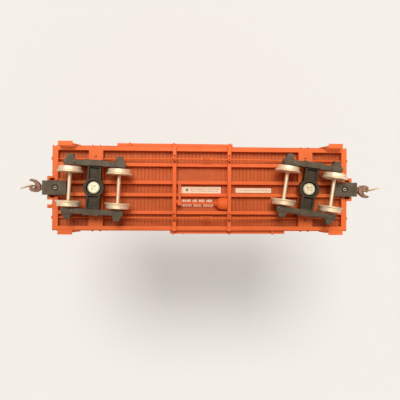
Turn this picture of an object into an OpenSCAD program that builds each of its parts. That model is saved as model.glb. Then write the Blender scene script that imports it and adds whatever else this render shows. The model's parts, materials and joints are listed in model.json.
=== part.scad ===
// Narrow gauge box car, 1:87: a moulded body on two swivelling trucks.
// +X runs along the car, away from the brake end; +Z is up.
// The origin is on the plane that the wheel flanges stand on, under the middle of the car.
// The _b end has the brake wheel (-X) and the _a end does not (+X).
// The left side is +Y and the right side is -Y.

/* [Body] */
// Length over the end sheathing
body_l = 100.5; // [98:0.5:104]
// Width over the side sheathing
body_w = 28.7; // [28.5:0.1:30]
// Height of the sills' lower faces
sill_z = 9; // [9:0.1:9.2]
// Height of the eaves
eaves_z = 34.3; // [34:0.1:36]
// Rise of the roof from the eaves to the ridge
roof_rise = 2; // [1.6:0.1:2.6]
// Thickness of the roof boards
roof_t = 0.7; // [0.5:0.1:0.9]
// Overhang of the roof past the sheathing
roof_over = 0.65; // [0.5:0.05:0.8]
// Thickness of the sheathing
wall_t = 1.2; // [1:0.1:1.4]
// Width of one sheathing board
board_w = 1.1; // [0.9:0.1:1.6]
// Depth of the groove between two boards
groove = 0.12; // [0.08:0.01:0.16]

/* [Underframe] */
// Depth of the side and end sills
sill_h = 3; // [2.8:0.1:3.2]
// Width of the side sills
side_sill_w = 1.25; // [1.1:0.05:1.4]
// Width of the end sills
end_sill_w = 1.6; // [1.4:0.1:1.8]
// Height of the floor above the sills' lower faces
floor_up = 2.4; // [2.2:0.1:2.6]
// Thickness of the floor
floor_t = 1.2; // [1:0.1:1.4]
// Width of one floor board
floor_board_w = 1.26; // [1.1:0.02:1.6]
// Height of the inner sills above the side sills' lower faces
inner_sill_up = 0.3; // [0.1:0.1:0.6]
// Distance of each centre sill from the middle
centre_sill_y = 2.1; // [2:0.1:2.3]
// Distance of each intermediate sill from the middle
mid_sill_y = 8.1; // [7.8:0.1:8.4]
// Width of an inner sill
inner_sill_w = 1.15; // [1:0.05:1.3]
// Distance of each body bolster from the middle
bolster_x = 35.7; // [35.5:0.1:36]
// Width of a body bolster
bolster_w = 4.75; // [4.4:0.05:5]
// Distance of each needle beam from the middle
needle_x = 9.3; // [9:0.1:10]
// Width of a needle beam
needle_w = 1.2; // [1.2:0.1:1.6]
// Depth of a needle beam
needle_h = 1.2; // [1:0.1:1.4]
// Distance of each truss rod from the middle
rod_y = 9.9; // [9.6:0.1:10.2]
// Diameter of a truss rod
rod_d = 0.5; // [0.4:0.05:0.6]
// Height of the truss rods between the queen posts
rod_low_z = 7; // [6.8:0.1:7.2]

/* [Doors] */
// Width of the door opening
opening_w = 18; // [16:0.5:18]
// Height of the top of the door opening
opening_top = 32; // [30:0.5:32]
// How far a door slides
door_travel = 17.5; // [12:0.5:17.5]

/* [Trucks] */
// Distance between the two axles of a truck
wheelbase = 16; // [15.8:0.1:16.2]
// Tread diameter of a wheel
tread_d = 7.6; // [7.4:0.1:7.6]
// Flange diameter of a wheel
flange_d = 8.7; // [8.5:0.1:8.7]
// Distance between the backs of a pair of wheels
back_to_back = 9.3; // [9.2:0.05:9.4]
// Width of a wheel over its rim
wheel_w = 1.9; // [1.8:0.1:2]
// Diameter of an axle between its wheels
axle_d = 1.2; // [1:0.1:1.3]
// Angle that the brake end's truck is turned to at rest
turn_b = 2.9; // [-9:0.1:9]
// Angle that the other truck is turned to at rest
turn_a = 8.2; // [-9:0.1:9]

/* [Couplers] */
// Distance of each coupler's pivot from the middle
pivot_x = 48.75; // [48.6:0.05:49]
// Height of the coupler's centre line
coupler_z = 8.1; // [8:0.05:8.2]
// Width of a coupler box
box_w = 4.75; // [4.6:0.05:4.9]

/* [Hidden] */
$fn = 48;

BODY = "#c8562f";
BLACK = "#4b463c";
METAL = "#d9c6a3";
RUST = "#8a5f4c";
BRASS = "#b9975a";
STEEL = "#6f6f72";
CREAM = "#eadcb8";

e = 0.01;                                   // overrun of a cut past a face
half_l = body_l / 2;
half_w = body_w / 2;
sill_top = sill_z + sill_h;
sill_out = half_w - 0.35;                   // outer face of the side sills
sill_in = sill_out - side_sill_w;
end_out = half_l - 0.35;                    // outer face of the end sills
end_in = end_out - end_sill_w;
floor_z = sill_z + floor_up;                // underside of the floor
floor_top = floor_z + floor_t;
inner_z = sill_z + inner_sill_up;
skirt_z = sill_z + 0.4;                     // lower edge of the sheathing
wall_in = half_w - wall_t;
end_wall_in = half_l - wall_t;
slope = atan(roof_rise / half_w);
ridge_z = eaves_z + roof_rise;              // underside of the roof at the ridge
ridge_top = ridge_z + roof_t / cos(slope);
rod_high_z = sill_z + 1.2;
rod_r = rod_d / 2;
rod_rise_x = bolster_x - bolster_w / 2 - 0.2;
wire_r = 0.19;                              // grab irons, rungs
king_r = 1;                                 // king screw shank

// ---- shared shapes ----

module block(x, y, z)
    translate([x[0], y[0], z[0]])
        cube([x[1] - x[0], y[1] - y[0], z[1] - z[0]]);

module both_sides() {
    children();
    mirror([0, 1, 0]) children();
}

module both_ends() {
    children();
    rotate(180) children();
}

// A strip of boards along X with V grooves in its far face.
module boards(l, t, w) {
    n = round(l / w);
    p = l / n;
    polygon(concat(
        [[-l / 2, 0], [-l / 2, t]],
        [for (i = [1:n - 1], k = [-1:1]) [i * p - l / 2 + k * groove, t - (1 - abs(k)) * groove]],
        [[l / 2, t], [l / 2, 0]]
    ));
}

// A round bar from a to b.
module bar(a, b, r) {
    d = b - a;
    translate(a)
        rotate([0, acos(d[2] / norm(d)), atan2(d[1], d[0])])
            cylinder(h = norm(d), r = r);
}

// A round rod through points of the plane z = 0, with every corner bent to a radius.
module bent_rod(pts, r, bend) {
    n = len(pts) - 1;
    dirs = [for (i = [1:n]) (pts[i] - pts[i - 1]) / norm(pts[i] - pts[i - 1])];
    turns = [for (i = [1:1:n - 1]) atan2(cross(dirs[i - 1], dirs[i]), dirs[i - 1] * dirs[i])];
    cuts = concat([0], [for (a = turns) bend * tan(abs(a) / 2)], [0]);
    for (i = [1:n]) {
        from = pts[i - 1] + cuts[i - 1] * dirs[i - 1];
        to = pts[i] - cuts[i] * dirs[i - 1];
        bar([from[0], from[1], 0], [to[0], to[1], 0], r);
    }
    for (i = [1:1:n - 1]) {
        side = sign(turns[i - 1]);
        before = pts[i] - cuts[i] * dirs[i - 1];
        after = pts[i] + cuts[i] * dirs[i];
        centre = before + side * bend * [-dirs[i - 1][1], dirs[i - 1][0]];
        first = (side > 0 ? before : after) - centre;
        translate([centre[0], centre[1], 0]) rotate(atan2(first[1], first[0]))
            rotate_extrude(angle = abs(turns[i - 1])) translate([bend, 0]) circle(r = r);
    }
}

// ---- underframe ----

module underframe() color(BODY) difference() {
    union() {
        both_sides() {
            block([-end_out, end_out], [sill_in, sill_out], [sill_z, sill_top]);
            for (y = [centre_sill_y, mid_sill_y])
                block([-box_in, box_in], [y - inner_sill_w / 2, y + inner_sill_w / 2], [inner_z, floor_z]);
            block([-end_in, end_in], [mid_sill_y - inner_sill_w / 2, mid_sill_y + inner_sill_w / 2],
                [inner_z, floor_z]);
        }
        both_ends() {
            block([end_in, end_out], [-sill_out, sill_out], [sill_z, sill_top]);
            block([bolster_x - bolster_w / 2, bolster_x + bolster_w / 2], [-sill_in, sill_in],
                [sill_z, floor_z]);
            block([box_in - 0.4, end_in + e], [-pad_y, pad_y], [box_top, floor_z]);
            block([end_out - e, striker_x], [-striker_y, striker_y], [striker_z, sill_top]);
        }
    }
    both_ends() {
        translate([bolster_x, 0, sill_z - e]) cylinder(h = floor_up, r = king_r);
        block([box_in - 0.5, striker_x + e], [-notch_y, notch_y], [striker_z - e, box_top]);
        translate([pivot_x, 0, box_top - e]) cylinder(h = floor_z - box_top, r = screw_r);
        both_sides() {
            block([end_out - 0.5, end_out + 1], [notch_y - e, notch_y + 0.7], [striker_z - e, sill_top - 1]);
            translate([bolster_x, side_hole_y, sill_z - e]) cylinder(h = 0.6, r = 0.35);
            translate([bolster_x - bolster_w, rod_y, rod_high_z])
                rotate([0, 90, 0]) cylinder(h = half_l, r = rod_r + 0.05);
        }
    }
}
side_hole_y = 10.6;                         // small holes in the bolsters, past the truss rods
box_in = 45.2;                              // inner end of a coupler box
box_out = 53;                               // its mouth
box_top = coupler_z + 1.5;
box_low = coupler_z - 1.4;
pad_y = 3.2;
notch_y = box_w / 2 + 0.2;
striker_x = 51.8;
striker_y = 3.95;
striker_z = sill_z - 0.3;
screw_r = 0.4;

// The boarded floor, plain between the needle beams where the data is, with a pocket behind
// each coupler box.
module floor_boards() color(BODY) difference() {
    union() {
        translate([0, sill_in, floor_top]) rotate([90, 0, 0]) mirror([0, 1, 0])
            linear_extrude(2 * sill_in) boards(2 * end_in, floor_t, floor_board_w);
        block([plain_from, plain_to], [-mid_sill_y, mid_sill_y], [floor_z, floor_z + 2 * groove]);
    }
    both_ends() block([bolster_x + bolster_w / 2 + 0.6, box_in - 0.8], [-pocket_y, pocket_y],
        [floor_z - 1, floor_z + pocket_h]);
}
plain_from = -7.1;
plain_to = 6.9;
pocket_y = 1.45;
pocket_h = 0.8;

// A needle beam under the sills, with the bolt heads of its two queen posts' feet.
module needle_beam() color(BODY) {
    difference() {
        block([needle_x - needle_w / 2, needle_x + needle_w / 2], [-half_w, half_w],
            [sill_z - needle_h, sill_z]);
        both_sides() for (dy = [-1, 1])
            translate([needle_x, rod_y + 1.15 * dy, sill_z - needle_h - e])
                cylinder(h = 0.8, r = bolt_r);
    }
}
bolt_r = 0.38;
post_w = 1.5;
post_h = 1.1;                               // height of a queen post's foot below the beam

module queen_posts() color(BODY)
    both_ends() both_sides() difference() {
        block([needle_x - 0.45, needle_x + 0.45], [rod_y - 0.55, rod_y + 0.55],
            [rod_low_z - rod_r, sill_z - needle_h]);
        translate([needle_x - 1, rod_y, rod_low_z]) rotate([0, 90, 0])
            cylinder(h = 2, r = rod_r + 0.05);
        block([needle_x - 1, needle_x + 1], [rod_y - rod_r - 0.05, rod_y + rod_r + 0.05],
            [rod_low_z - 1, rod_low_z]);
    }

// Each rod is five straight lengths, with a ball where two of them meet.
module truss_rods() color(BODY) both_ends() {
    pts = [
        [-end_out, rod_high_z], [-rod_rise_x, rod_high_z], [-needle_x, rod_low_z],
        [needle_x, rod_low_z], [rod_rise_x, rod_high_z], [end_out, rod_high_z]
    ];
    n = len(pts) - 1;
    translate([0, rod_y, 0]) rotate([90, 0, 0]) for (i = [1:n]) {
        u = (pts[i] - pts[i - 1]) / norm(pts[i] - pts[i - 1]);
        from = pts[i - 1] + (i > 1 ? ball_gap : 0) * u;
        to = pts[i] - (i < n ? ball_gap : 0) * u;
        bar([from[0], from[1], 0], [to[0], to[1], 0], rod_r);
        if (i < n) translate([pts[i][0], pts[i][1], 0]) rotate(90) sphere(norm([rod_r, ball_gap]) * 1.06);
    }
}
ball_gap = 0.1;

// The buckle that tightens each truss rod: two ends and two cheeks.
module turnbuckles() color(BODY) both_sides() translate([1.4, rod_y, rod_low_z]) difference() {
    rotate([0, 90, 0]) translate([0, 0, -1.9]) cylinder(h = 3.8, r = 0.5);
    block([-1.2, 1.2], [-0.32, 0.32], [-1, 1]);
    rotate([0, 90, 0]) translate([0, 0, -2]) cylinder(h = 4, r = rod_r);
}

// ---- brake gear under the floor ----

cyl_x = 7.15;
cyl_y = 5;
cyl_z = 8.9;
cyl_r = 2.2;
cyl_l = 2.6;                                // reach of its small end

module brake_cylinder() color(BODY) translate([cyl_x, cyl_y, 0]) {
    translate([0, 0, cyl_z]) rotate([0, 90, 0]) rotate_extrude() polygon([
        [0, -cyl_l], [0.7, -cyl_l], [0.85, -2.2], [1.6, -1.7], [cyl_r - 0.15, -0.8], [cyl_r - 0.1, 0.7],
        [cyl_r, 0.8], [cyl_r, 1.25], [cyl_r - 0.25, 1.45], [0, 1.5]
    ]);
    block([-0.35, 0.35], [centre_sill_y + inner_sill_w / 2 - cyl_y, mid_sill_y - inner_sill_w / 2 - cyl_y],
        [floor_z - 0.5, floor_z]);
}

lever_x = -7.55;
lever_w = 0.8;

module brake_lever() color(BODY) {
    difference() {
        union() {
            block([lever_x - lever_w / 2, lever_x + lever_w / 2], [-1.2, 5.8], [8.6, 9]);
            translate([lever_x, cyl_y, 8.4]) cylinder(h = 0.8, r = 0.75);
            translate([lever_x, -1.2, 8.6]) cylinder(h = 0.4, r = 0.5);
        }
        translate([lever_x, -1.2, 8.5]) cylinder(h = 1, r = 0.2);
    }
    block([needle_w / 2 - needle_x, lever_x - lever_w / 2 + e], [3.9, 4.9], [8.6, 9]);
}

module piston_rod() color(BODY)
    bar([lever_x + 0.75, cyl_y, cyl_z], [cyl_x - cyl_l, cyl_y, cyl_z], 0.24);

module data_labels() color(CREAM) {
    block([-7.05, 6.75], [-0.75, 1.5], [floor_z - 0.15, floor_z]);
    block([11.85, 24.25], [-0.36, 1.24], [floor_z - 0.15, floor_z]);
}

// ---- body ----

opening_low = floor_top;

module side_wall() color(BODY) difference() {
    translate([0, wall_in, skirt_z]) linear_extrude(eaves_z - skirt_z)
        boards(2 * end_wall_in, wall_t, board_w);
    block([-opening_w / 2, opening_w / 2], [wall_in - 1, half_w + 1], [opening_low, opening_top]);
    block([-half_l, half_l], [wall_in - 1, sill_out], [skirt_z - e, sill_top]);
}

module end_wall() color(BODY) difference() {
    intersection() {
        translate([end_wall_in, 0, skirt_z]) rotate(-90)
            linear_extrude(ridge_z - skirt_z) boards(body_w, wall_t, board_w);
        rotate([90, 0, 90]) linear_extrude(half_l + 1) polygon([
            [-half_w, 0], [-half_w, eaves_z], [0, ridge_z], [half_w, eaves_z], [half_w, 0]
        ]);
    }
    block([end_wall_in - 1, end_out], [-half_w - 1, half_w + 1], [skirt_z - e, sill_top]);
    block([end_out - 1, half_l + 1], [-striker_y, striker_y], [skirt_z - e, sill_top]);
}

module roof() color(BODY) {
    l = body_l + 2 * roof_over;
    run = (half_w + roof_over) / cos(slope);
    both_sides() {
        translate([0, 0, ridge_z]) rotate([-slope, 0, 0]) translate([0, -0.2, 0])
            mirror([0, 1, 0]) rotate([90, 0, 0])
                linear_extrude(run + 0.2) boards(l, roof_t, board_w * 1.5);
        block([-half_l, half_l], [half_w, half_w + 0.4], [fascia_z, eaves_z + 0.1]);
    }
    block([-end_wall_in, end_wall_in], [-0.9, 0.9], [ridge_z - 0.8, ridge_z + 0.2]);
}
fascia_z = 33.5;

saddle_w = 5.2;
saddle_top = ridge_top + 0.45;
plank_t = 0.4;
board_top = saddle_top + plank_t;

module running_board_saddles() color(BODY) for (x = [-3:3])
    translate([x * (half_l - 1.5) / 3 - 0.4, 0, 0]) rotate([90, 0, 90]) linear_extrude(0.8) polygon([
        [-saddle_w / 2, ridge_top - saddle_w / 2 * tan(slope)], [0, ridge_top],
        [saddle_w / 2, ridge_top - saddle_w / 2 * tan(slope)],
        [saddle_w / 2, saddle_top], [-saddle_w / 2, saddle_top]
    ]);

module running_board() color(BODY) for (y = [-1:1])
    block([-half_l - 1.4, half_l + 1.4], [y * 1.75 - 0.83, y * 1.75 + 0.83], [saddle_top, board_top]);

// ---- doors ----

door_w = opening_w + 1.2;
door_y = half_w + 0.15;                     // inner face of a door
door_t = 0.65;
door_low = 11.5;
door_top = 32.8;
track_from = -10.7;
track_to = 28.8;

// Lower rail with its lip and brackets, hood over the rollers, and the two stops.
module door_tracks() color(BODY) {
    block([track_from, track_to], [half_w, door_y + door_t + 0.25], [10.6, door_low - 0.1]);
    block([track_from, track_to], [door_y + door_t + 0.1, door_y + door_t + 0.25],
        [door_low - 0.1 - e, door_low + 0.4]);
    for (x = [-9.7, 9.6, 24.5])
        block([x - 0.35, x + 0.35], [half_w, door_y + door_t + 0.45], [9.9, 10.6]);
    block([track_from, track_to], [half_w, door_y + door_t + 0.3], [door_top + 0.1, fascia_z - 0.1]);
    block([track_from, track_to], [door_y + door_t + 0.1, door_y + door_t + 0.3],
        [door_top - 0.6, door_top + 0.1 + e]);
    for (x = [-door_w / 2 - 0.35, door_w / 2 + door_travel + 0.35])
        block([x - 0.3, x + 0.3], [half_w, door_y + door_t - 0.1], [18, 21.5]);
}

module door() color(BODY) {
    translate([0, door_y, door_low]) linear_extrude(door_top - door_low)
        boards(door_w, door_t, board_w);
}

batten_t = 0.22;

// Battens, latch bar, handle and roller hangers on a door's face.
module door_fittings() color(BODY) {
    y0 = door_y + door_t;
    for (z = [12.4, 21.6, 30.8])
        block([-door_w / 2 + 0.2, door_w / 2 - 0.2], [y0, y0 + batten_t], [z, z + 1.1]);
    for (x = [-1, 1])
        block([x * (door_w / 2 - 0.8) - 0.5, x * (door_w / 2 - 0.8) + 0.5],
            [y0, y0 + batten_t], [12.4, 31.9]);
    block([-door_w / 2 + 0.3, -door_w / 2 + 3.1], [y0, y0 + 0.5], [19.2, 19.7]);
    translate([-6.2, y0, 17.8]) rotate([0, 90, 0]) iron(2.4);
}

// ---- ladders, irons and steps ----

ladder_w = 3.8;
rung_pitch = 3.4;

// A ladder against the plane y = 0: two stiles and its rungs.
module ladder(z0, rungs) {
    for (x = [-1, 1])
        block([x * ladder_w / 2 - 0.2, x * ladder_w / 2 + 0.2], [0, 0.75],
            [z0 - 1.2, z0 + rung_pitch * (rungs - 1) + 1.2]);
    for (i = [0:rungs - 1])
        bar([-ladder_w / 2, 0.52, z0 + i * rung_pitch], [ladder_w / 2, 0.52, z0 + i * rung_pitch], wire_r);
}

// A U of wire standing off the plane y = 0.
module iron(w) bent_rod([[-w / 2, 0], [-w / 2, 0.7], [w / 2, 0.7], [w / 2, 0]], wire_r, 0.4);

module side_ladders() color(BODY)
    both_ends() translate([-45.6, half_w, 0]) ladder(13.4, 6);

module end_ladders() color(BODY)
    both_ends() translate([half_l, -10.6, 0]) rotate(-90) ladder(14.4, 6);

module grab_irons() color(BODY) both_ends() {
    for (z = [14.5, 19.5]) translate([45.6, half_w, z]) iron(4);
    for (z = [14.5, 19.5, 26]) translate([half_l, 10.4, z]) rotate(-90) iron(4);
}

// The four corner steps: a flat tread, an upright strap at its outer end and a raked one at the other.
module stirrup_steps() color(BODY) both_ends() both_sides() {
    block([step_x - step_w / 2, step_x + step_w / 2], [sill_out - 0.1, half_w + 1.1], [step_z, step_z + 0.4]);
    translate([0, half_w + 0.4, 0]) rotate([90, 0, 0]) linear_extrude(0.4) {
        translate([step_x + step_w / 2 - 0.6, step_z]) square([0.6, step_top - step_z]);
        polygon([
            [step_x - step_w / 2, step_z], [step_x - step_w / 2 + 0.6, step_z],
            [step_x - step_w / 2 - step_rake + 0.6, step_top], [step_x - step_w / 2 - step_rake, step_top]
        ]);
    }
}
step_x = 45.3;
step_w = 4.8;
step_z = 5.7;
step_top = 11.4;
step_rake = 1.8;

// ---- hand brake on the _b end ----

staff_x = -half_l - roof_over - 0.35;
staff_y = 6.2;
staff_r = 0.3;
brake_wheel_z = 41.2;

module brake_staff() color(BODY)
    translate([staff_x, staff_y, 8.8]) cylinder(h = brake_wheel_z + 0.7 - 8.8, r = staff_r);

module brake_wheel() color(BODY) translate([staff_x, staff_y, brake_wheel_z]) difference() {
    union() {
        rotate_extrude() translate([2.7, 0]) circle(r = 0.3);
        for (a = [0:72:359]) rotate(a) bar([0.4, 0, 0], [2.7, 0, 0], 0.2);
        translate([0, 0, -0.4]) cylinder(h = 0.8, r = 0.75);
    }
    translate([0, 0, -1]) cylinder(h = 2, r = staff_r);
}

// Foot bearing, the two guides up the end and the brakeman's step.
module brake_brackets() color(BODY) difference() {
    union() {
        for (z = [9.6, 22, 33])
            block([staff_x - 0.7, -half_l], [staff_y - 0.6, staff_y + 0.6], [z, z + 0.7]);
        block([staff_x - 1.9, -half_l], [staff_y - 2.2, staff_y + 2.2], [28.2, 28.7]);
        for (y = [-1.7, 1.7])
            bar([-half_l, staff_y + y, 25.9], [staff_x - 1.3, staff_y + y, 28.4], 0.25);
    }
    translate([staff_x, staff_y, 5]) cylinder(h = 40, r = staff_r);
    block([-half_l, 0], [0, 20], [20, 40]);
}

module weight() color(STEEL) difference() {
    block([-30, 30], [-9, 9], [floor_top, floor_top + 1.6]);
    for (x = [-24, 24]) translate([x, 0, floor_top - 1]) cylinder(h = 4, r = 1.5);
}

// ---- trucks ----

axle_z = flange_d / 2;
frame_in = 7.05;                            // inner face of a sideframe
frame_out = 8.75;
frame_mid = (frame_in + frame_out) / 2;
frame_low = 2.7;                            // lower face of a sideframe's tie bar
journal_out = 10.3;
journal_r = 0.4;
journal_gap = 0.05;                         // running clearance of a journal
bolster_low = 3.4;
boss_z = sill_z - 0.05;                     // top of the truck's centre bearing
head_r = 1.95;
head_h = 1;
head_z = bolster_low + 0.35;                // lower face of the king screw's head

module at_truck(end) translate([end * bolster_x, 0, 0]) rotate(end > 0 ? turn_a : turn_b) children();

module king_screws() color(METAL) both_ends() difference() {
    union() {
        translate([bolster_x, 0, head_z + 0.25]) cylinder(h = head_h - 0.25, r = head_r);
        translate([bolster_x, 0, head_z]) cylinder(h = 0.25 + e, r1 = head_r - 0.35, r2 = head_r);
        translate([bolster_x, 0, head_z + head_h - e])
            cylinder(h = sill_z + floor_up - 0.3 - head_z - head_h, r = king_r);
    }
    translate([bolster_x, 0, head_z]) for (a = [45, 135]) rotate(a)
        block([-1, 1], [-0.2, 0.2], [-e, 0.5]);
}

// A trough open downwards, flared to a hub round the king screw.
module truck_bolster() color(BLACK) difference() {
    union() {
        block([-2.2, 2.2], [-frame_in, frame_in], [bolster_low, 6.7]);
        translate([0, 0, bolster_low]) cylinder(h = 3.3, r = 3.35);
        cylinder(h = boss_z, r = 2.6);
    }
    translate([0, 0, -e]) cylinder(h = bolster_low + e, r = 4);
    both_sides() block([-1.65, 1.65], [2.75, 6.6], [bolster_low - e, bolster_low + 1.1]);
    translate([0, 0, bolster_low - e]) cylinder(h = head_z - bolster_low + head_h + 0.05, r = 2.42);
    translate([0, 0, bolster_low]) cylinder(h = boss_z, r = king_r + 0.08);
}

axle_up = 1.35;                             // half height of a journal box

// Side view of an arch bar sideframe: arch bars over a tie bar, with three windows.
module sideframe_face() {
    hx = wheelbase / 2;
    difference() {
        polygon([
            [-hx - 1.9, frame_low], [hx + 1.9, frame_low], [hx + 1.9, 5.8], [hx - 1.9, 5.8], [3, 7.1],
            [-3, 7.1], [-hx + 1.9, 5.8], [-hx - 1.9, 5.8]
        ]);
        for (s = [-1, 1]) polygon([
            [s * (hx - 1.5), frame_low + 0.55], [s * 3.2, frame_low + 0.55], [s * 3.2, 6.4],
            [s * (hx - 1.9), 5.2], [s * (hx - 1.5), 5.2]
        ]);
        translate([-2, frame_low + 0.55]) square([4, 3.25]);
    }
}

module sideframes() color(BLACK) both_sides() difference() {
    union() {
        translate([0, frame_out, 0]) rotate([90, 0, 0]) linear_extrude(frame_out - frame_in)
            sideframe_face();
        for (x = [-1, 1] * wheelbase / 2) {
            translate([x, frame_out, axle_z - axle_up]) linear_extrude(2 * axle_up) polygon([
                [-1.7, -e], [1.7, -e], [1.15, 0.7], [0.95, journal_out - frame_out],
                [-0.95, journal_out - frame_out], [-1.15, 0.7]
            ]);
            for (dx = [-1.55, 1.55]) translate([x + dx, frame_mid, frame_low - 0.25])
                cylinder(h = 3.8, r = 0.32);
        }
        block([-2.3, 2.3], [frame_in + 0.1, frame_out + 0.25], [frame_low - 0.22, frame_low + 0.5]);
        for (x = [-1, 1]) {
            translate([x, frame_mid, 3]) cylinder(h = 4, r = 0.75);
            block([x * 2.6 - 0.55, x * 2.6 + 0.55], [frame_out - e, frame_out + 0.45], [3.3, 6.4]);
        }
    }
    for (x = [-1, 1] * wheelbase / 2)
        translate([x, 0, axle_z]) rotate([-90, 0, 0])
            cylinder(h = 9.3, r = journal_r + journal_gap);
}

lid_hinge_r = 0.22;

module journal_lids() color(BLACK) both_sides() for (x = [-1, 1] * wheelbase / 2) {
    block([x - 1.05, x + 1.05], [journal_out, journal_out + 0.25], [axle_z - 1.2, axle_z + 1.1]);
    translate([x, journal_out + lid_hinge_r, axle_z + 1.1]) rotate([0, 90, 0]) translate([0, 0, -0.6])
        cylinder(h = 1.2, r = lid_hinge_r);
}

module at_axle(end, i) at_truck(end) translate([(i - 1.5) * wheelbase, 0, axle_z])
    rotate([-90, 0, 0]) children();

axle_end = 9;

module axle() color(METAL) {
    hub = back_to_back / 2 + wheel_w + 0.15;
    translate([0, 0, -hub]) cylinder(h = 2 * hub, r = axle_d / 2);
    translate([0, 0, -axle_end]) cylinder(h = 2 * axle_end, r = journal_r);
}

// Wheel section from the back face outwards: flange, coned tread, rim, plate and hub.
module wheel_section() {
    r = tread_d / 2;
    f = flange_d / 2;
    polygon([
        [axle_d / 2, 0.1], [1.3, 0.1], [1.5, 0.35], [3, 0.35], [3.2, 0], [f - 0.25, 0],
        [f, 0.15], [f, 0.3], [f - 0.2, 0.5], [r + 0.1, 0.6], [r, 0.75], [r - 0.08, wheel_w - 0.1],
        [r - 0.18, wheel_w], [3.05, wheel_w], [2.8, 1.45], [1.5, 1.2], [1.3, wheel_w + 0.1],
        [axle_d / 2, wheel_w + 0.1]
    ]);
}

module wheel_pair() color(METAL) for (s = [0, 1]) mirror([0, 0, s])
    translate([0, 0, back_to_back / 2]) rotate_extrude() wheel_section();

// ---- couplers, drawn for the +X end with the pivot at the origin of x ----

module at_coupler(end) rotate(end > 0 ? 0 : 180) translate([pivot_x, 0, 0]) children();

cavity_y = 1.7;
cavity_top = coupler_z + 0.8;
lid_t = 0.6;
lid_top = box_low + lid_t;
post_r = 0.68;

module coupler_box() color(BLACK) difference() {
    union() {
        difference() {
            block([box_in - pivot_x, box_out - pivot_x], [-box_w / 2, box_w / 2], [lid_top, box_top]);
            block([box_in - pivot_x + 0.7, box_out - pivot_x + 1], [-cavity_y, cavity_y],
                [lid_top - e, cavity_top]);
        }
        translate([0, 0, lid_top]) cylinder(h = box_top - lid_top, r = post_r);
    }
    translate([0, 0, lid_top - 1]) cylinder(h = 5, r = screw_r);
}

module coupler_lid() color(BLACK) difference() {
    block([box_in - pivot_x, box_out - pivot_x], [-box_w / 2, box_w / 2], [box_low, lid_top]);
    translate([0, 0, box_low - 1]) cylinder(h = 3, r = screw_r);
    translate([0, 0, box_low - e]) cylinder(h = 0.36, r = 1.1);
}

module coupler_screws() color(BLACK) both_ends() translate([pivot_x, 0, 0]) difference() {
    union() {
        translate([0, 0, box_low + 0.03]) cylinder(h = 0.32, r = 0.78);
        translate([0, 0, box_low + 0.3]) cylinder(h = floor_z - box_low - 0.6, r = screw_r);
    }
    for (a = [0, 90]) rotate(a) block([-0.45, 0.45], [-0.1, 0.1], [box_low - 1, box_low + 0.2]);
}

// A flat leaf under the shank with an upturned arm on each side of it.
module centring_spring() color(BRASS) {
    difference() {
        block([-2.2, 3.6], [-1.62, 1.62], [lid_top, lid_top + 0.1]);
        translate([0, 0, lid_top - 1]) cylinder(h = 2, r = post_r);
    }
    both_sides() block([0.8, 3.6], [1.5, 1.62], [lid_top + 0.1 - e, cavity_top - 0.15]);
}

shank_low = lid_top + 0.2;
shank_top = cavity_top - 0.1;
head_low = coupler_z - 1.15;
coupler_head_top = coupler_z + 1.15;
knuckle_x = 7;                              // knuckle pin, from the coupler's pivot
knuckle_y = -0.75;
knuckle_low = coupler_z - 0.7;
knuckle_top = coupler_z + 0.7;

module coupler() color(RUST) difference() {
    union() {
        translate([0, 0, shank_low]) cylinder(h = shank_top - shank_low, r = 1.25);
        block([0.5, 5.4], [-0.6, 0.6], [shank_low, shank_top]);
        translate([0, 0, head_low]) linear_extrude(coupler_head_top - head_low) polygon([
            [4.9, -0.7], [6.1, -1.45], [7, -1.5], [7.6, -1.2], [7.6, -0.4], [6.7, 0.2],
            [6.6, 1.2], [7.3, 1.9], [8.2, 2.05], [8.5, 2.5], [7.9, 2.9], [6.7, 2.6],
            [5.6, 1.7], [4.9, 0.8]
        ]);
    }
    translate([0, 0, shank_low - 1]) cylinder(h = 4, r = post_r + 0.07);
    translate([knuckle_x, knuckle_y, 0]) {
        translate([0, 0, knuckle_low - 0.06]) cylinder(h = knuckle_top - knuckle_low + 0.12, r = 0.95);
        rotate(-45) block([0, 3], [-0.95, 2], [knuckle_low - 0.06, knuckle_top + 0.06]);
        block([0, 3], [-0.95, 2], [knuckle_low - 0.06, knuckle_top + 0.06]);
    }
    translate([pin_x, pin_y, head_low - 1]) cylinder(h = 1.6, r = pin_r);
}

// The hook that closes on its mate, and its pin.
module knuckle() color(RUST) translate([knuckle_x, knuckle_y, 0]) {
    translate([0, 0, knuckle_low]) cylinder(h = knuckle_top - knuckle_low, r = 0.65);
    translate([0, 0, knuckle_low]) linear_extrude(knuckle_top - knuckle_low) polygon([
        [0, -0.63], [0.9, -0.6], [1.5, -0.1], [1.6, 0.8], [1.4, 1.5], [0.95, 1.65], [0.75, 1.2],
        [0.85, 0.6], [0.6, 0.35], [0, 0.6]
    ]);
}

pin_r = 0.26;
pin_x = 6.35;
pin_y = 0.55;
pin_bend = 3.1;                             // radius of the trip pin's curve
pin_out = 3.35;                             // reach of the trip pin
pin_turn = -17;                             // its heading
pin_low = 1.6;                              // height of its tip

module trip_pin() color(BRASS) translate([pin_x, pin_y, 0]) rotate([90, 0, pin_turn])
    bent_rod([[0, head_low + 0.6], [0, pin_low], [pin_out, pin_low]], pin_r, pin_bend);

// ---- the nodes ----

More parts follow.
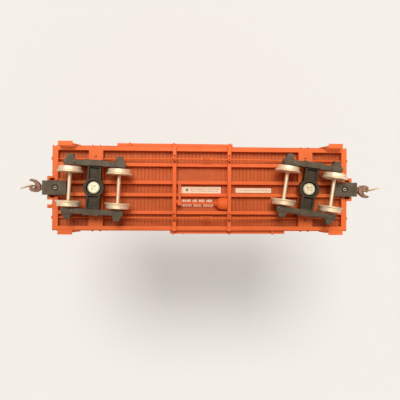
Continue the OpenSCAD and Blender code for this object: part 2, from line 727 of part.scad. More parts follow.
underframe();
floor_boards();  // floor
rotate(180) needle_beam();  // needle_beam_b
needle_beam();  // needle_beam_a
queen_posts();
truss_rods();
turnbuckles();
brake_cylinder();
brake_lever();
piston_rod();
data_labels();
side_wall();  // side_wall_left
rotate(180) side_wall();  // side_wall_right
rotate(180) end_wall();  // end_wall_b
end_wall();  // end_wall_a
roof();
running_board_saddles();
running_board();
door_tracks();  // door_tracks_left
rotate(180) door_tracks();  // door_tracks_right
side_ladders();
end_ladders();
grab_irons();
stirrup_steps();
brake_staff();
brake_wheel();
brake_brackets();
weight();
king_screws();
at_coupler(-1) coupler_box();  // coupler_box_b
at_coupler(1) coupler_box();  // coupler_box_a
at_coupler(-1) coupler_lid();  // coupler_lid_b
at_coupler(1) coupler_lid();  // coupler_lid_a
coupler_screws();
at_coupler(-1) centring_spring();  // centring_spring_b
at_coupler(1) centring_spring();  // centring_spring_a
door();  // door_left
rotate(180) door();  // door_right
door_fittings();  // door_fittings_left
rotate(180) door_fittings();  // door_fittings_right
at_coupler(-1) coupler();  // coupler_b
at_coupler(1) coupler();  // coupler_a
at_coupler(-1) knuckle();  // knuckle_b
at_coupler(1) knuckle();  // knuckle_a
at_coupler(-1) trip_pin();  // trip_pin_b
at_coupler(1) trip_pin();  // trip_pin_a
at_truck(-1) truck_bolster();  // truck_bolster_b
at_truck(1) truck_bolster();  // truck_bolster_a
at_truck(-1) sideframes();  // sideframes_b
at_truck(1) sideframes();  // sideframes_a
at_truck(-1) journal_lids();  // journal_lids_b
at_truck(1) journal_lids();  // journal_lids_a
at_axle(-1, 1) axle();  // axle_b1
at_axle(-1, 2) axle();  // axle_b2
at_axle(1, 1) axle();  // axle_a1
at_axle(1, 2) axle();  // axle_a2
at_axle(-1, 1) wheel_pair();  // wheels_b1
at_axle(-1, 2) wheel_pair();  // wheels_b2
at_axle(1, 1) wheel_pair();  // wheels_a1
at_axle(1, 2) wheel_pair();  // wheels_a2
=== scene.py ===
"""Looks for the narrow gauge box car: materials, small fittings, stage, lights and camera."""

import json
import math
import random

import bmesh
import bpy
from mathutils import Matrix, Vector


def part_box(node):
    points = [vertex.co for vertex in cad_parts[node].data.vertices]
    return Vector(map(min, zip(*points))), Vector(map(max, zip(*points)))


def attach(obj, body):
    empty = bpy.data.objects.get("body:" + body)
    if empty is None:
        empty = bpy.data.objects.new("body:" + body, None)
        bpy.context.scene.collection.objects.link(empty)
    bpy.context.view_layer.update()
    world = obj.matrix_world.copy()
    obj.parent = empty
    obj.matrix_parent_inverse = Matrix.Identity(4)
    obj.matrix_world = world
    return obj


MM = 0.001
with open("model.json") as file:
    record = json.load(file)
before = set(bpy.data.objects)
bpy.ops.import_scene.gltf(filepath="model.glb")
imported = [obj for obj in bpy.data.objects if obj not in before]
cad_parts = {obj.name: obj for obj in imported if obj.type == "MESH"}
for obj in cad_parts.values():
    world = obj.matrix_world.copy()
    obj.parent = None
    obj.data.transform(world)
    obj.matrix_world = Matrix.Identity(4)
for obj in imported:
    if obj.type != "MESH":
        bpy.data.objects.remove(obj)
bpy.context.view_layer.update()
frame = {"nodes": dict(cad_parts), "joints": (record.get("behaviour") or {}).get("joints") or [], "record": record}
nodes = frame["nodes"]
SLOT_OF = {row["node"]: row["material_slot"] for row in frame["record"]["subparts"]}
JOINTS = {joint["name"]: joint for joint in frame["joints"]}

X, Y, Z = Vector((1, 0, 0)), Vector((0, 1, 0)), Vector((0, 0, 1))
scene = bpy.context.scene


# ---------------------------------------------------------------- materials


class Shade:
    """A node material built round one Principled shader."""

    def __init__(self, name, roughness=0.5, metallic=0.0, **constants):
        self.material = bpy.data.materials.new(name)
        self.material.use_nodes = True
        self.tree = self.material.node_tree
        self.shader = self.tree.nodes["Principled BSDF"]
        self.shader.inputs["Roughness"].default_value = roughness
        self.shader.inputs["Metallic"].default_value = metallic
        for socket, value in constants.items():
            self.shader.inputs[socket.replace("_", " ")].default_value = value
        self.place = self.add("ShaderNodeTexCoord").outputs["Object"]

    def add(self, kind, inputs=None, **settings):
        """A new node, with its inputs linked or set."""
        node = self.tree.nodes.new(kind)
        for key, value in settings.items():
            setattr(node, key, value)
        for key, value in (inputs or {}).items():
            self.put(value, node.inputs[key])
        return node

    def put(self, value, socket):
        """Links an output to the socket, or sets the socket to a constant."""
        if isinstance(value, bpy.types.NodeSocket):
            self.tree.links.new(value, socket)
        else:
            socket.default_value = value

    def stretched(self, scale):
        """Object coordinates in metres times a scale for each axis."""
        mapping = self.add("ShaderNodeMapping", {"Vector": self.place})
        mapping.inputs["Scale"].default_value = scale
        return mapping.outputs["Vector"]

    def noise(self, scale, detail=3.0, roughness=0.55, where=None):
        return self.add(
            "ShaderNodeTexNoise",
            {"Vector": where or self.place, "Scale": scale, "Detail": detail, "Roughness": roughness},
        ).outputs["Fac"]

    def math(self, operation, a, b=0.0, c=0.0):
        return self.add("ShaderNodeMath", {0: a, 1: b, 2: c}, operation=operation).outputs[0]

    def span(self, value, low, high, to_low=0.0, to_high=1.0):
        """The value moved from low..high to to_low..to_high, and clamped."""
        return self.add(
            "ShaderNodeMapRange",
            {"Value": value, "From Min": low, "From Max": high, "To Min": to_low, "To Max": to_high},
        ).outputs["Result"]

    def mix(self, share, a, b):
        """A colour between a and b."""
        node = self.add("ShaderNodeMix", data_type="RGBA")
        self.put(share, node.inputs["Factor"])
        self.put(a, node.inputs[6])
        self.put(b, node.inputs[7])
        return node.outputs[2]

    def edges(self, distance, inside=True):
        """1 on sharp outer edges and 0 on flats; with inside False, 1 in the corners of recesses."""
        node = self.add("ShaderNodeAmbientOcclusion", {"Distance": distance}, samples=4, inside=inside)
        darkest = 0.35 if inside else 0.1
        return self.span(node.outputs["AO"], darkest, 0.9, 1.0, 0.0)

    def axis(self, index):
        """One of the object coordinates, in metres."""
        split = self.add("ShaderNodeSeparateXYZ", {0: self.place})
        return split.outputs[index]

    def bump(self, height, strength, distance):
        node = self.add("ShaderNodeBump", {"Height": height, "Strength": strength, "Distance": distance})
        return node.outputs["Normal"]

    def finish(self, colour=None, roughness=None, normal=None):
        for value, socket in ((colour, "Base Color"), (roughness, "Roughness"), (normal, "Normal")):
            if value is not None:
                self.put(value, self.shader.inputs[socket])
        return self.material


def rgb(red, green, blue):
    return (red, green, blue, 1.0)


RED = rgb(0.73, 0.135, 0.022)
RED_PALE = rgb(0.86, 0.21, 0.055)
RED_DEEP = rgb(0.42, 0.075, 0.015)
# The floor's darker base: painted shade, for the shade that falls on the floor between the sills.
FLOOR_SHADE_RED = rgb(0.48, 0.108, 0.018)


def oxide_red(name, boards_along=None, pitch=1.0 * MM, start=0.0, grain=None, base=RED):
    """Moulded plastic in oxide red. With boards_along, each board along that axis differs a little.
    With grain, a scale for each axis, streaks of moulded wood grain run along the smallest one."""
    m = Shade(name, roughness=0.56, Specular_IOR_Level=0.28)
    cloud = m.span(m.noise(90.0), 0.35, 0.68, 0.0, 0.25)
    colour = m.mix(cloud, base, RED_PALE)
    height = m.noise(5200.0, 2.0)
    if boards_along is not None:
        offset = m.math("SUBTRACT", m.axis(boards_along), start)
        number = m.math("FLOOR", m.math("DIVIDE", offset, pitch))
        tint = m.add("ShaderNodeTexWhiteNoise", {"W": number}, noise_dimensions="1D").outputs["Value"]
        colour = m.mix(m.math("MULTIPLY", tint, 0.32), colour, RED_DEEP)
    if grain is not None:
        streaks = m.noise(1.0, 4.0, 0.6, m.stretched(grain))
        colour = m.mix(m.span(streaks, 0.42, 0.72, 0.0, 0.35), colour, RED_DEEP)
        height = m.math("ADD", m.math("MULTIPLY", height, 0.3), streaks)
    worn = m.math("MULTIPLY", m.edges(0.18 * MM), m.span(m.noise(700.0), 0.4, 0.62))
    colour = m.mix(m.math("MULTIPLY", worn, 0.6), colour, RED_PALE)
    # Painted shade: the corners of recesses are darkened towards a deep red, where shade falls.
    recess_shade = m.edges(0.7 * MM, inside=False)
    colour = m.mix(m.math("MULTIPLY", recess_shade, 0.55), colour, rgb(0.22, 0.035, 0.010))
    rough = m.span(m.noise(420.0), 0.3, 0.7, 0.48, 0.64)
    return m.finish(colour, rough, m.bump(height, 0.35, 0.03 * MM))


def black_plastic(name, dark=rgb(0.070, 0.052, 0.028), faded=rgb(0.115, 0.088, 0.052)):
    """Matt moulded plastic, black faded to a warm grey, with dust on its edges."""
    m = Shade(name, roughness=0.5, Specular_IOR_Level=0.3)
    colour = m.mix(m.span(m.noise(260.0), 0.35, 0.65), dark, faded)
    worn = m.math("MULTIPLY", m.edges(0.16 * MM), m.span(m.noise(900.0), 0.38, 0.6))
    colour = m.mix(m.math("MULTIPLY", worn, 0.55), colour, rgb(0.30, 0.25, 0.19))
    # Painted shade: the corners of recesses are darkened almost to black, where shade falls.
    recess_shade = m.edges(1.3 * MM, inside=False)
    colour = m.mix(m.math("MULTIPLY", recess_shade, 0.85), colour, rgb(0.018, 0.014, 0.008))
    rough = m.span(m.noise(500.0), 0.3, 0.7, 0.38, 0.6)
    return m.finish(colour, rough, m.bump(m.noise(4200.0, 3.0), 0.5, 0.035 * MM))


def turned_metal(name, colour, dark, joint=None, roughness=0.3, metallic=0.55):
    """Plated metal with fine turning rings round the axis of a joint, or a satin grain without one."""
    m = Shade(name, roughness=roughness, metallic=metallic)
    shade = m.mix(m.span(m.noise(350.0), 0.45, 0.8, 0.0, 0.6), colour, dark)
    if joint is None:
        height = m.noise(3500.0, 3.0)
    else:
        centre, axis = Vector(joint["pos_m"]), Vector(joint["axis"]).normalized()
        offset = m.add("ShaderNodeVectorMath", {0: m.place, 1: centre}, operation="SUBTRACT").outputs[0]
        along = m.add("ShaderNodeVectorMath", {0: offset, 1: axis}, operation="DOT_PRODUCT").outputs["Value"]
        back = m.add("ShaderNodeVectorMath", {0: axis}, operation="SCALE")
        m.put(along, back.inputs["Scale"])
        radial = m.add("ShaderNodeVectorMath", {0: offset, 1: back.outputs[0]}, operation="SUBTRACT")
        radius = m.add("ShaderNodeVectorMath", {0: radial.outputs[0]}, operation="LENGTH").outputs["Value"]
        rings = m.add("ShaderNodeCombineXYZ", {0: radius, 1: along}).outputs[0]
        height = m.add("ShaderNodeTexNoise", {"Vector": rings, "Scale": 9000.0, "Detail": 2.0}).outputs["Fac"]
    # Painted shade: the metal is darkened in the corners of recesses, where shade falls.
    metal_recess_shade = m.edges(0.5 * MM, inside=False)
    shade = m.mix(m.math("MULTIPLY", metal_recess_shade, 0.6), shade, tuple(0.35 * c for c in dark[:3]) + (1.0,))
    rough = m.span(m.noise(900.0), 0.3, 0.7, roughness - 0.05, roughness + 0.08)
    return m.finish(shade, rough, m.bump(height, 0.25, 0.004 * MM))


def rust_brown(name):
    """Cast coupler metal with a brown finish."""
    m = Shade(name, roughness=0.62, metallic=0.15)
    colour = m.mix(m.span(m.noise(600.0), 0.35, 0.65), rgb(0.19, 0.095, 0.055), rgb(0.30, 0.16, 0.10))
    worn = m.math("MULTIPLY", m.edges(0.15 * MM), m.span(m.noise(1500.0), 0.35, 0.6))
    colour = m.mix(m.math("MULTIPLY", worn, 0.7), colour, rgb(0.55, 0.36, 0.26))
    # Painted shade: the corners of recesses are darkened, where shade falls.
    recess_shade = m.edges(0.4 * MM, inside=False)
    colour = m.mix(m.math("MULTIPLY", recess_shade, 0.6), colour, rgb(0.07, 0.030, 0.018))
    rough = m.span(m.noise(900.0), 0.3, 0.7, 0.5, 0.75)
    return m.finish(colour, rough, m.bump(m.noise(3000.0, 4.0), 0.6, 0.05 * MM))


def paper(name):
    """Cream label paper, slightly yellowed, with its fibres."""
    m = Shade(name, roughness=0.7)
    colour = m.mix(m.span(m.noise(300.0), 0.35, 0.7), rgb(0.88, 0.84, 0.65), rgb(0.80, 0.73, 0.51))
    fibres = m.noise(1.0, 4.0, 0.6, m.stretched((1500.0, 5000.0, 2500.0)))
    return m.finish(colour, m.span(fibres, 0.3, 0.7, 0.6, 0.8), m.bump(fibres, 0.4, 0.02 * MM))


def ink(name, colour, faded):
    """Printing ink that is thinner in places."""
    m = Shade(name, roughness=0.6)
    tone = m.mix(m.span(m.noise(2500.0, 3.0), 0.35, 0.7), colour, faded)
    return m.finish(tone, normal=m.bump(m.noise(6000.0), 0.3, 0.01 * MM))


FLOOR_LOW, FLOOR_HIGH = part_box("floor")
WALL_LOW, WALL_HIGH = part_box("side_wall_left")
END_LOW, END_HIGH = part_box("end_wall_a")
ROOF_LOW, ROOF_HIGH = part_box("roof")
DOOR_LOW, DOOR_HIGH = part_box("door_left")


def even_pitch(low, high, board):
    """The width of one board when a whole number of them fills the span."""
    return (high - low) / round((high - low) / board)


NICKEL, NICKEL_DARK = rgb(0.95, 0.79, 0.57), rgb(0.80, 0.61, 0.40)
MATERIALS = {
    "body": oxide_red("red_plain"),
    "black_plastic": black_plastic("black_plastic"),
    "nickel": turned_metal("nickel", NICKEL, NICKEL_DARK),
    "screw": turned_metal("screw", rgb(1.0, 0.92, 0.66), rgb(0.90, 0.80, 0.54), metallic=0.3),
    "coupler": rust_brown("rust_brown"),
    "bronze": turned_metal("bronze", rgb(0.66, 0.47, 0.25), rgb(0.36, 0.23, 0.11), roughness=0.34),
    "black_screw": turned_metal("black_screw", rgb(0.03, 0.026, 0.02), rgb(0.015, 0.013, 0.01),
                                roughness=0.32),
    "label": paper("paper"),
    "steel_weight": turned_metal("steel", rgb(0.52, 0.52, 0.54), rgb(0.30, 0.30, 0.31), roughness=0.4),
}

# Board widths, and for each boarded surface the grain's scale along X, Y and Z.
FLOOR_BOARD, WALL_BOARD, ROOF_BOARD = 1.26 * MM, 1.1 * MM, 1.65 * MM
FLOOR_GRAIN, ROOF_GRAIN = (4200.0, 260.0, 1500.0), (4200.0, 220.0, 1500.0)
WALL_GRAIN, END_GRAIN = (4200.0, 3000.0, 220.0), (3000.0, 4200.0, 220.0)
PLANK_GRAIN = (220.0, 4200.0, 1500.0)

# The floor takes the darker base: painted shade for the shade between the sills.
FLOOR_RED = oxide_red("red_floor", 0, even_pitch(FLOOR_LOW.x, FLOOR_HIGH.x, FLOOR_BOARD),
                      FLOOR_LOW.x, FLOOR_GRAIN, FLOOR_SHADE_RED)
WALL_RED = oxide_red("red_wall", 0, even_pitch(WALL_LOW.x, WALL_HIGH.x, WALL_BOARD),
                     WALL_LOW.x, WALL_GRAIN)
END_RED = oxide_red("red_end", 1, even_pitch(END_LOW.y, END_HIGH.y, WALL_BOARD), END_LOW.y, END_GRAIN)
ROOF_RED = oxide_red("red_roof", 0, even_pitch(ROOF_LOW.x, ROOF_HIGH.x, ROOF_BOARD),
                     ROOF_LOW.x, ROOF_GRAIN)
DOOR_RED = oxide_red("red_door", 0, even_pitch(DOOR_LOW.x, DOOR_HIGH.x, WALL_BOARD),
                     DOOR_LOW.x, WALL_GRAIN)
PLANK_RED = oxide_red("red_plank", grain=PLANK_GRAIN)
BOARDED = {
    "floor": FLOOR_RED, "side_wall_left": WALL_RED, "side_wall_right": WALL_RED,
    "end_wall_a": END_RED, "end_wall_b": END_RED, "roof": ROOF_RED,
    "door_left": DOOR_RED, "door_right": DOOR_RED, "running_board": PLANK_RED,
}


def wear(piece, material):
    """Gives a CAD node's object one material."""
    piece.data.materials.clear()
    piece.data.materials.append(material)


def soften(piece, width):
    """Rounds a piece's sharp edges, as moulding and plating do."""
    weld = piece.modifiers.new("weld", "WELD")
    weld.merge_threshold = 0.0005 * MM
    bevel = piece.modifiers.new("edges", "BEVEL")
    bevel.width = width
    bevel.segments = 2
    bevel.limit_method = "ANGLE"
    bevel.angle_limit = math.radians(35)


ROUNDING = {"body": 0.06 * MM, "black_plastic": 0.08 * MM, "coupler": 0.10 * MM, "screw": 0.05 * MM}
for name, piece in nodes.items():
    slot = SLOT_OF[name]
    wear(piece, BOARDED.get(name, MATERIALS[slot]))
    if slot in ROUNDING and name not in BOARDED:
        soften(piece, ROUNDING[slot])
# A darker copy of the black plastic, worn by the truck bolsters: painted shade, for the shade in their recesses.
BLACK_PAINTED_SHADE = black_plastic("black_painted_shade", rgb(0.034, 0.022, 0.007), rgb(0.058, 0.040, 0.015))
for name, piece in nodes.items():
    if name.startswith("truck_bolster_"):
        wear(piece, BLACK_PAINTED_SHADE)
    if name.startswith(("axle_", "wheels_")):
        roll = JOINTS[f"wheelset_{name.rsplit('_', 1)[1]}_roll"]
        wear(piece, turned_metal(f"turned_{name}", NICKEL, NICKEL_DARK, roll, roughness=0.50))


# ---------------------------------------------------------------- small fittings


def corners(node):
    """A CAD node's lowest and highest corners in millimetres."""
    low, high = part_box(node)
    return low / MM, high / MM


class Piece:
    """Shapes gathered in one mesh, drawn in millimetres and placed by a matrix."""

    def __init__(self, place=None):
        self.mesh = bmesh.new()
        self.place = place or Matrix.Identity(4)

    def lathe(self, at, axis, profile, sides=16):
        """A turned shape: the profile is a list of (radius, height along the axis)."""
        axis = Vector(axis).normalized()
        side = axis.orthogonal().normalized()
        other = axis.cross(side)
        rings = []
        for radius, height in profile:
            centre = Vector(at) + axis * height
            if radius == 0:
                rings.append([self.mesh.verts.new(centre)])
                continue
            angles = [2 * math.pi * k / sides for k in range(sides)]
            rings.append([
                self.mesh.verts.new(centre + radius * (math.cos(a) * side + math.sin(a) * other))
                for a in angles
            ])
        for low, high in zip(rings, rings[1:]):
            for k in range(sides):
                n = (k + 1) % sides
                face = [low[k % len(low)], low[n % len(low)], high[n % len(high)], high[k % len(high)]]
                self.mesh.faces.new(list(dict.fromkeys(face)))

    def nut(self, at, axis, radius, height, washer):
        """A washer, a chamfered hexagon nut and the end of its bolt."""
        self.lathe(at, axis, [(0, 0), (washer, 0), (washer, 0.08), (washer - 0.04, 0.1), (0, 0.1)], 20)
        top = 0.1 + height
        self.lathe(at, axis, [(0, 0), (radius, 0), (radius, top - 0.06), (radius * 0.86, top), (0, top)], 6)
        bolt, tip = radius * 0.45, top + 0.13
        self.lathe(at, axis, [(0, 0), (bolt, 0), (bolt, top + 0.09), (bolt * 0.7, tip), (0, tip)], 12)

    def dome(self, at, axis, radius, height):
        """A round bolt or rivet head."""
        steps = [math.pi / 2 * k / 4 for k in range(4)]
        arc = [(radius * math.cos(a), height * math.sin(a)) for a in steps]
        self.lathe(at, axis, [(0, -0.02), (radius, -0.02)] + arc[1:] + [(0, height)], 14)

    def slab(self, low, high, slant=0.0):
        """A block, its far side along Y moved along X by the slant."""
        points = [
            self.mesh.verts.new((x + (slant if j else 0), y, z))
            for x in (low[0], high[0]) for j, y in enumerate((low[1], high[1])) for z in (low[2], high[2])
        ]
        for face in ((0, 1, 3, 2), (4, 6, 7, 5), (0, 4, 5, 1), (2, 3, 7, 6), (0, 2, 6, 4), (1, 5, 7, 3)):
            self.mesh.faces.new([points[k] for k in face])

    def tube(self, points, radius, sides=10, closed=False):
        """A round wire through the points, with flat ends."""
        count = len(points)
        points = [Vector(p) for p in points]
        rings, side = [], None
        for k, at in enumerate(points):
            before = points[(k - 1) % count] if closed or k else at
            after = points[(k + 1) % count] if closed or k < count - 1 else at
            along = (after - before).normalized()
            side = along.orthogonal() if side is None else side - along * side.dot(along)
            side.normalize()
            other = along.cross(side)
            turns = [2 * math.pi * j / sides for j in range(sides)]
            rings.append([
                self.mesh.verts.new(at + radius * (math.cos(a) * side + math.sin(a) * other)) for a in turns
            ])
        pairs = list(zip(rings, rings[1:])) + ([(rings[-1], rings[0])] if closed else [])
        for low, high in pairs:
            for j in range(sides):
                n = (j + 1) % sides
                self.mesh.faces.new((low[j], low[n], high[n], high[j]))
        if not closed:
            self.mesh.faces.new(rings[0][::-1])
            self.mesh.faces.new(rings[-1])

    def done(self, name, body, slot, material=None, smooth=30):
        """Makes the object, riding on the body."""
        bmesh.ops.transform(self.mesh, matrix=Matrix.Scale(MM, 4) @ self.place, verts=self.mesh.verts)
        bmesh.ops.recalc_face_normals(self.mesh, faces=self.mesh.faces)
        for face in self.mesh.faces:
            face.smooth = True
        for edge in self.mesh.edges:
            if len(edge.link_faces) == 2 and edge.calc_face_angle() > math.radians(smooth):
                edge.smooth = False
        data = bpy.data.meshes.new(name)
        self.mesh.to_mesh(data)
        self.mesh.free()
        piece = bpy.data.objects.new(name, data)
        scene.collection.objects.link(piece)
        data.materials.append(material or MATERIALS[slot])
        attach(piece, body)
        return piece


def truck_place(end):
    """A truck's own axes: X along the truck, the origin under its king screw, in millimetres."""
    first, second = JOINTS[f"wheelset_{end}1_roll"], JOINTS[f"wheelset_{end}2_roll"]
    along = Vector(second["pos_m"]) - Vector(first["pos_m"])
    middle = (Vector(second["pos_m"]) + Vector(first["pos_m"])) / 2
    turned = Matrix.Rotation(math.atan2(along.y, along.x), 4, "Z")
    return Matrix.Translation((middle.x / MM, middle.y / MM, 0)) @ turned, along.length / MM / 2


# Trucks, in millimetres from the place on the rails under the king screw.
SIDEFRAME_Y = 7.9
SPRING_X, SPRING_R, SPRING_WIRE = 1.0, 0.78, 0.11
SPRING_LOW, SPRING_HIGH, SPRING_TURNS, STEPS_A_TURN = 3.3, 6.45, 5, 24
COLUMN_X, TIE_BAR, ARCH_BAR_TOP = 1.55, 2.7, 5.8
LID_OUT, BOSS_DOWN = 10.55, 0.15
BOSS = [(0, -0.1), (0.62, -0.1), (0.62, 0.05), (0.5, 0.12), (0, 0.15)]


def truck_fittings(end):
    """Bolster springs, column nuts and journal lid bosses of one truck."""
    place, axle_x = truck_place(end)
    springs, nuts, bosses = Piece(place), Piece(place), Piece(place)
    axle_z = JOINTS[f"wheelset_{end}1_roll"]["pos_m"][2] / MM
    steps = SPRING_TURNS * STEPS_A_TURN
    turns = [2 * math.pi * k / STEPS_A_TURN for k in range(steps + 1)]
    rises = [(SPRING_HIGH - SPRING_LOW) * k / steps for k in range(steps + 1)]
    for side in (-1, 1):
        y = side * SIDEFRAME_Y
        for x in (-SPRING_X, SPRING_X):
            springs.tube([
                (x + SPRING_R * math.cos(a), y + SPRING_R * math.sin(a), SPRING_LOW + rise)
                for a, rise in zip(turns, rises)
            ], SPRING_WIRE, 8)
        for x in (-axle_x, axle_x):
            for dx in (-COLUMN_X, COLUMN_X):
                nuts.nut((x + dx, y, TIE_BAR), -Z, 0.42, 0.15, 0.55)
                nuts.nut((x + dx, y, ARCH_BAR_TOP), Z, 0.42, 0.15, 0.55)
            bosses.lathe((x, side * LID_OUT, axle_z - BOSS_DOWN), side * Y, BOSS, 20)
    springs.done(f"springs_{end}", f"truck_{end}", "black_plastic")
    nuts.done(f"column_nuts_{end}", f"truck_{end}", "black_plastic")
    bosses.done(f"lid_bosses_{end}", f"truck_{end}", "black_plastic")


PIN_HEAD_R, PIN_HEAD_H, PIN_HEAD_SUNK = 0.42, 0.16, 0.02


def coupler_fittings(end):
    """The heads of one coupler's knuckle pin."""
    at = Vector(JOINTS[f"knuckle_{end}_open"]["pos_m"]) / MM
    low, high = corners(f"coupler_{end}")
    heads = Piece()
    heads.dome((at.x, at.y, low.z + PIN_HEAD_SUNK), -Z, PIN_HEAD_R, PIN_HEAD_H)
    heads.dome((at.x, at.y, high.z - PIN_HEAD_SUNK), Z, PIN_HEAD_R, PIN_HEAD_H)
    heads.done(f"knuckle_pin_{end}", f"coupler_{end}", "coupler")


# Painted highlight: a bright ring of wire over each coupler screw, placed where its head gleams.
HIGHLIGHT_RING_SHARE, HIGHLIGHT_RING_WIRE = 0.56, 0.085


def circle(centre, radius, steps):
    """Points round a circle that lies level."""
    turns = [2 * math.pi * k / steps for k in range(steps)]
    return [(centre.x + radius * math.cos(a), centre.y + radius * math.sin(a), centre.z) for a in turns]


def coupler_screw_highlights():
    """A bright nickel ring round the socket of each coupler screw: a painted highlight, for the gleam on the
    screw's glossy head.
    """
    low, high = corners("coupler_screws")
    radius = (high.y - low.y) / 2
    highlight_rings = Piece()
    for x in (low.x + radius, high.x - radius):
        centre = Vector((x, (low.y + high.y) / 2, low.z))
        highlight_rings.tube(circle(centre, HIGHLIGHT_RING_SHARE * radius, 28), HIGHLIGHT_RING_WIRE, 10, closed=True)
    highlight_rings.done("coupler_screw_highlights", "car_body", "nickel")


TRUSS_ROD_R = 0.25


def truss_rod_nuts():
    """A large washer and nut where each truss rod comes through the end."""
    high, wall = corners("truss_rods")[1], corners("end_wall_a")[1].x
    nuts = Piece()
    for end in (-1, 1):
        for side in (-1, 1):
            at = (end * wall, side * (high.y - TRUSS_ROD_R), high.z - TRUSS_ROD_R)
            nuts.nut(at, end * X, 0.5, 0.32, 0.85)
    nuts.done("truss_rod_nuts", "car_body", "body")


SILL_BOLT_SPREAD, SIDE_BOLT_UP = 1.3, 1.2
END_BOLT_Y, END_BOLT_UP = 5.3, 1.0


def sill_bolts():
    """Nuts along the lower edge of the sheathing at the bolsters, and on the end sills."""
    low, high = corners("side_wall_left")
    end = corners("end_wall_a")[1].x
    bolster = abs(JOINTS["truck_a_swivel"]["pos_m"][0]) / MM
    bolts = Piece()
    for side in (-1, 1):
        for x in (-bolster, bolster):
            for dx in (-SILL_BOLT_SPREAD, SILL_BOLT_SPREAD):
                bolts.nut((x + dx, side * high.y, low.z + SIDE_BOLT_UP), side * Y, 0.34, 0.16, 0.5)
        for half in (-1, 1):
            at = (half * end, side * END_BOLT_Y, low.z + END_BOLT_UP)
            bolts.nut(at, half * X, 0.34, 0.16, 0.5)
    bolts.done("sill_bolts", "car_body", "body")


LADDER_HALF, LADDER_INSET, STILE_OUT = 1.9, 0.2, 0.75
FIRST_RUNG, RUNG_PITCH, RUNGS = 1.2, 3.4, 6
IRON_HALF, END_IRONS_Y = 2.0, 10.4
SIDE_IRONS_Z, END_IRONS_Z = (14.5, 19.5), (14.5, 19.5, 26.0)
IRON_FOOT = [(0, -0.02), (0.42, -0.02), (0.42, 0.07), (0.3, 0.16), (0, 0.18)]


def ladder_bolts():
    """A bolt head on each stile at every rung, and a foot under each end of the grab irons."""
    wall_x, wall_y = corners("end_wall_a")[1].x, corners("side_wall_left")[1].y
    side_low, side_high = corners("side_ladders")
    end_low, end_high = corners("end_ladders")
    bolts, feet = Piece(), Piece()
    side_x = side_high.x - LADDER_HALF - LADDER_INSET
    end_y = end_high.y - LADDER_HALF - LADDER_INSET
    for half in (-1, 1):
        for k in range(RUNGS):
            up = FIRST_RUNG + k * RUNG_PITCH
            for dx in (-LADDER_HALF, LADDER_HALF):
                at_side = (half * (side_x + dx), -half * (wall_y + STILE_OUT), side_low.z + up)
                bolts.dome(at_side, -half * Y, 0.15, 0.1)
                at_end = (half * (wall_x + STILE_OUT), -half * (end_y + dx), end_low.z + up)
                bolts.dome(at_end, half * X, 0.15, 0.1)
        for along in (-IRON_HALF, IRON_HALF):
            for z in SIDE_IRONS_Z:
                feet.lathe((half * (side_x + along), half * wall_y, z), half * Y, IRON_FOOT)
            for z in END_IRONS_Z:
                feet.lathe((half * wall_x, half * (END_IRONS_Y + along), z), half * X, IRON_FOOT)
    bolts.done("ladder_bolts", "car_body", "body")
    feet.done("grab_iron_feet", "car_body", "body")


BATTENS_Z, BATTEN_T = (12.95, 22.15, 31.35), 0.22
BATTEN_BOLTS_X = (-8.8, -5.3, -1.8, 1.8, 5.3, 8.8)
HANGERS_X, HANGER_HALF, HANGER_T = (-6.6, 6.6), 0.6, 0.14
HANGER_Z, HANGER_BOLTS_Z = (28.6, 32.1), (29.2, 30.3, 31.4)
HASP_X, HASP_Z, HASP_R, HASP_OUT = 8.0, 18.75, 0.45, 0.42


def door_hardware(side):
    """Hangers, bolt heads on the battens, and the hasp's ring, on one door."""
    sign = 1 if side == "left" else -1
    low, high = corners(f"door_{side}")
    face = high.y if sign > 0 else -low.y
    batten = face + BATTEN_T
    hanger = batten + HANGER_T
    bolts, hangers = Piece(), Piece()
    for z in BATTENS_Z:
        for x in BATTEN_BOLTS_X:
            bolts.dome((x, sign * batten, z), sign * Y, 0.17, 0.1)
    for x in HANGERS_X:
        near, far = sorted((sign * (face - 0.02), sign * hanger))
        hangers.slab((x - HANGER_HALF, near, HANGER_Z[0]), (x + HANGER_HALF, far, HANGER_Z[1]))
        for z in HANGER_BOLTS_Z:
            bolts.dome((x, sign * hanger, z), sign * Y, 0.17, 0.1)
    turns = [2 * math.pi * k / 24 for k in range(24)]
    hangers.tube([
        (-sign * HASP_X + HASP_R * math.cos(a), sign * (batten + HASP_OUT), HASP_Z + HASP_R * math.sin(a))
        for a in turns
    ], 0.1, 8, closed=True)
    bolts.done(f"door_bolts_{side}", f"door_{side}", "body")
    soften(hangers.done(f"door_hangers_{side}", f"door_{side}", "body"), 0.05 * MM)


PLANKS_Y, NAIL_SPREAD, NAIL_ROWS, NAIL_INSET = (-1.75, 0, 1.75), 0.45, 7, 0.4


def running_board_nails():
    """Two nail heads in each plank over every saddle."""
    top = corners("running_board")[1].z
    saddles = corners("running_board_saddles")
    first, last = saddles[0].x + NAIL_INSET, saddles[1].x - NAIL_INSET
    nails = Piece()
    for k in range(NAIL_ROWS):
        x = first + (last - first) * k / (NAIL_ROWS - 1)
        for plank in PLANKS_Y:
            for dy in (-NAIL_SPREAD, NAIL_SPREAD):
                nails.dome((x, plank + dy, top), Z, 0.14, 0.05)
    nails.done("running_board_nails", "car_body", "body")


RATCHET_Z, RATCHET_T, RATCHET_TEETH = 28.72, 0.4, 14
TOOTH_TIP, TOOTH_ROOT = (1.15, 0.0), (0.9, 0.12)


